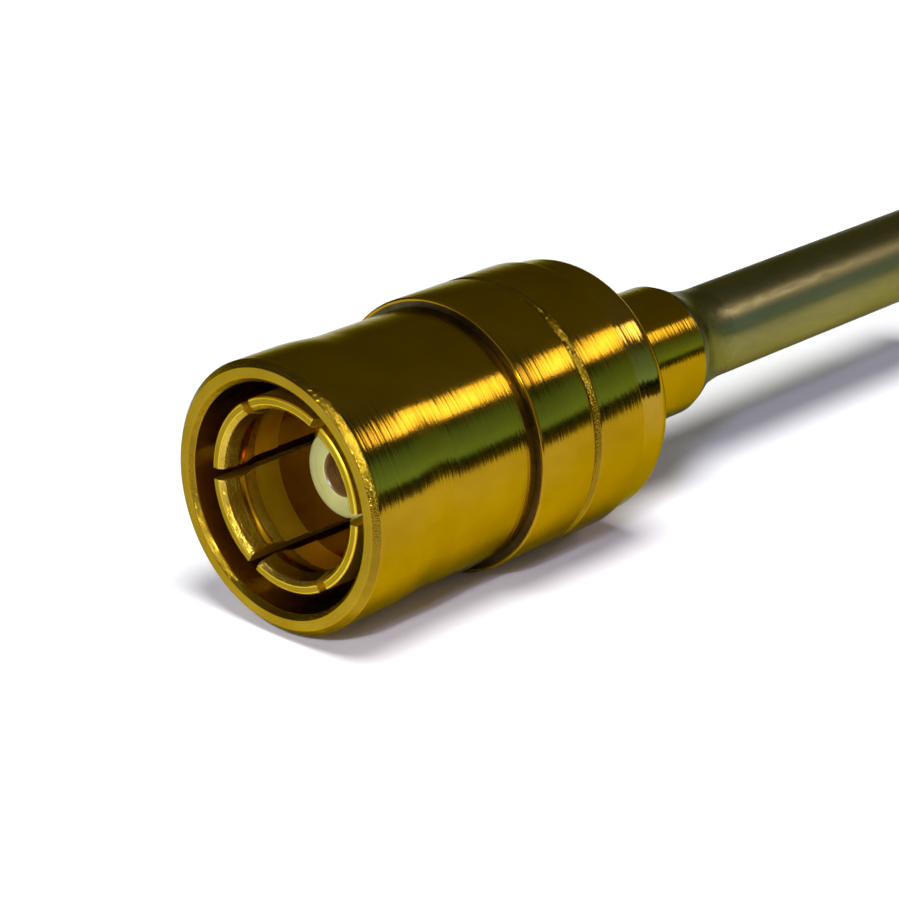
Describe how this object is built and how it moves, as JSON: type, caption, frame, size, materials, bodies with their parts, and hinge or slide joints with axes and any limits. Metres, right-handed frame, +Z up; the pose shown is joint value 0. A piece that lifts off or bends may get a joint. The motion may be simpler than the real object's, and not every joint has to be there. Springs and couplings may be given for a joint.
{
  "type": "smb coaxial plug on semi-rigid cable",
  "caption": "Straight push-on coaxial plug with slotted spring fingers inside a gold-plated sleeve, soldered to a short straight stub of semi-rigid cable.",
  "frame": {"origin": "on the axis of the plug, in the plane of the mating rim", "axes": "+X along the axis from the mating rim towards the cable, +Z up as the plug lies on a table"},
  "size_m": [0.024, 0.0062, 0.0062],
  "materials": {
    "gold_body": "turned brass with bright gold plating and fine turning marks",
    "gold_spring": "beryllium copper with bright gold plating",
    "ptfe": "waxy white, smooth",
    "solder": "dull grey, frosty",
    "tinned_copper": "dull tin-plated, softly streaked",
    "silvered_wire": "bright silver-plated"
  },
  "bodies": {
    "root": {"shroud": "gold_body", "main_body": "gold_body", "rear_body": "gold_body", "spring_contact": "gold_spring", "centre_contact": "gold_spring", "front_insulator": "ptfe", "rear_insulator": "ptfe", "cable_dielectric": "ptfe", "contact_solder": "solder", "cable_solder": "solder", "cable_jacket": "tinned_copper", "cable_wire": "silvered_wire"}
  },
  "joints": []
}
